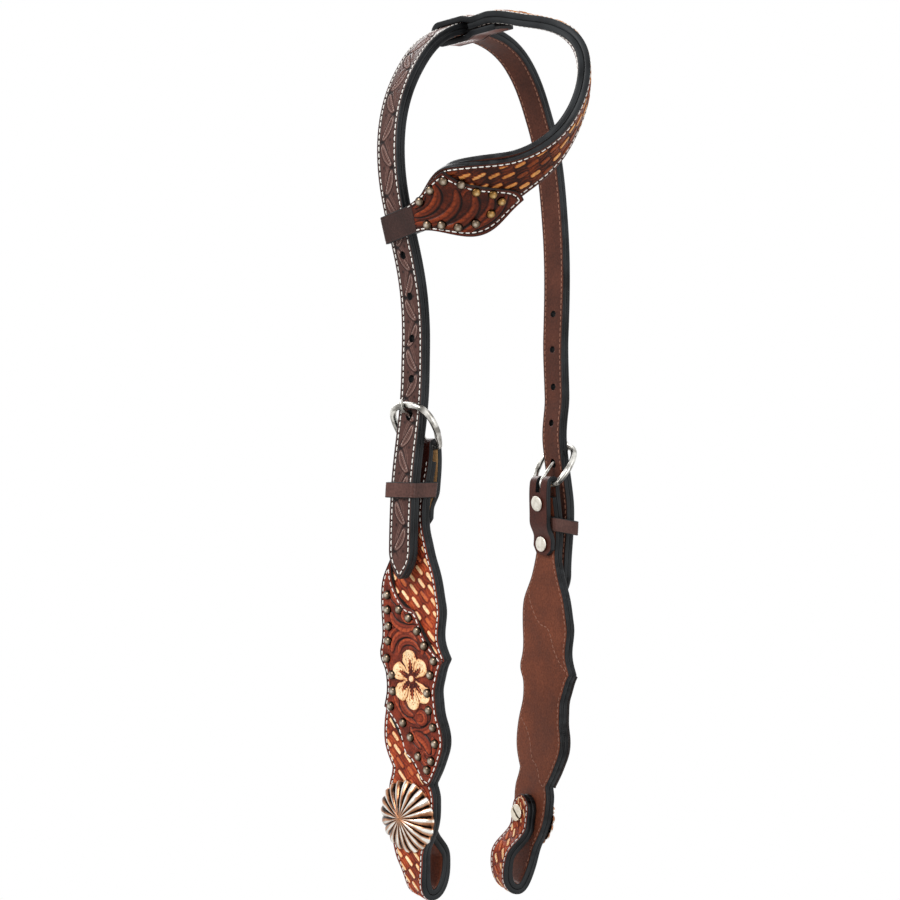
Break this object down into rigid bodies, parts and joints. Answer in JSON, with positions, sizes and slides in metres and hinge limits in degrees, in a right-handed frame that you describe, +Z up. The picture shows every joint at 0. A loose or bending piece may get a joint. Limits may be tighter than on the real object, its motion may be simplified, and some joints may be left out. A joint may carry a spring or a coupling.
{
  "type": "western headstall",
  "caption": "Western one-ear headstall of layered leather: crown strap, slip ear loop, buckled scalloped cheeks with bit loops and domed conchos.",
  "frame": {"origin": "underside of the crown strap at its highest point, over the horse's poll", "axes": "+X towards the far cheek, front edges face -Y, +Z up"},
  "size_m": [0.1584, 0.119, 0.4973],
  "materials": {
    "strap_leather": "dark reddish brown strap leather with shallow tooling, satin",
    "lining_leather": "plain medium brown lining leather, satin",
    "cheek_leather": "basket tooled orange-brown leather with buff highlights",
    "overlay_leather": "red-brown scroll-tooled overlay leather with dark domed studs",
    "wrap_leather": "plain dark brown leather, satin",
    "antique_silver": "antiqued silver, copper-toned ridges and dark recesses",
    "satin_nickel": "satin nickel"
  },
  "bodies": {
    "headstall": {"crown_strap": "strap_leather", "crown_lining": "lining_leather", "near_cheek": "cheek_leather", "near_cheek_lining": "lining_leather", "near_overlay": "overlay_leather", "near_concho": "antique_silver", "near_upper_rivet": "satin_nickel", "near_lower_rivet": "satin_nickel", "far_cheek": "cheek_leather", "far_cheek_lining": "lining_leather", "far_overlay": "overlay_leather", "far_concho": "antique_silver", "far_upper_rivet": "satin_nickel", "far_lower_rivet": "satin_nickel"},
    "ear_loop": {"ear_piece": "cheek_leather", "ear_lining": "lining_leather", "ear_overlay": "overlay_leather", "ear_slide_wrap": "wrap_leather"},
    "near_buckle": {"near_buckle_frame": "satin_nickel"},
    "near_tongue": {"near_buckle_tongue": "satin_nickel"},
    "near_keeper_loop": {"near_keeper": "strap_leather"},
    "near_bit_closure": {"near_bit_screw": "satin_nickel"},
    "far_buckle": {"far_buckle_frame": "satin_nickel"},
    "far_tongue": {"far_buckle_tongue": "satin_nickel"},
    "far_keeper_loop": {"far_keeper": "strap_leather"},
    "far_bit_closure": {"far_bit_screw": "satin_nickel"}
  },
  "joints": [
    {"name": "ear_slide", "type": "hinge", "parent": "headstall", "child": "ear_loop", "pos_m": [-0.00125, 0, -0.09011], "axis": [0, 1, 0], "range_deg": [-2, 2]},
    {"name": "near_buckle_hinge", "type": "hinge", "parent": "headstall", "child": "near_buckle", "pos_m": [-0.051, 0.0013, -0.2285], "axis": [0.0052, 1, 0], "range_deg": [-2.5, 1.1]},
    {"name": "near_tongue_hinge", "type": "hinge", "parent": "near_buckle", "child": "near_tongue", "pos_m": [-0.051, 0.0013, -0.2285], "axis": [0.0052, 1, 0], "range_deg": [-0.5, 0.5]},
    {"name": "near_keeper_slide", "type": "slide", "parent": "headstall", "child": "near_keeper_loop", "axis": [0.1348, -0.0007, 0.9909], "range_m": [0, 0.0012]},
    {"name": "near_bit_screw_turn", "type": "hinge", "parent": "headstall", "child": "near_bit_closure", "pos_m": [-0.06189, 0.00336, -0.4235], "axis": [-1, 0.0052, 0], "continuous": true},
    {"name": "far_buckle_hinge", "type": "hinge", "parent": "headstall", "child": "far_buckle", "pos_m": [0.051, -0.002, -0.25], "axis": [0.2096, 0.9778, 0], "range_deg": [-1.1, 2.5]},
    {"name": "far_tongue_hinge", "type": "hinge", "parent": "far_buckle", "child": "far_tongue", "pos_m": [0.051, -0.002, -0.25], "axis": [0.2096, 0.9778, 0], "range_deg": [-0.5, 0.5]},
    {"name": "far_keeper_slide", "type": "slide", "parent": "headstall", "child": "far_keeper_loop", "axis": [-0.1319, -0.0967, 0.9865], "range_m": [0, 0.0012]},
    {"name": "far_bit_screw_turn", "type": "hinge", "parent": "headstall", "child": "far_bit_closure", "pos_m": [0.05199, 0.00595, -0.44541], "axis": [0.9469, -0.2983, -0.1202], "continuous": true}
  ]
}
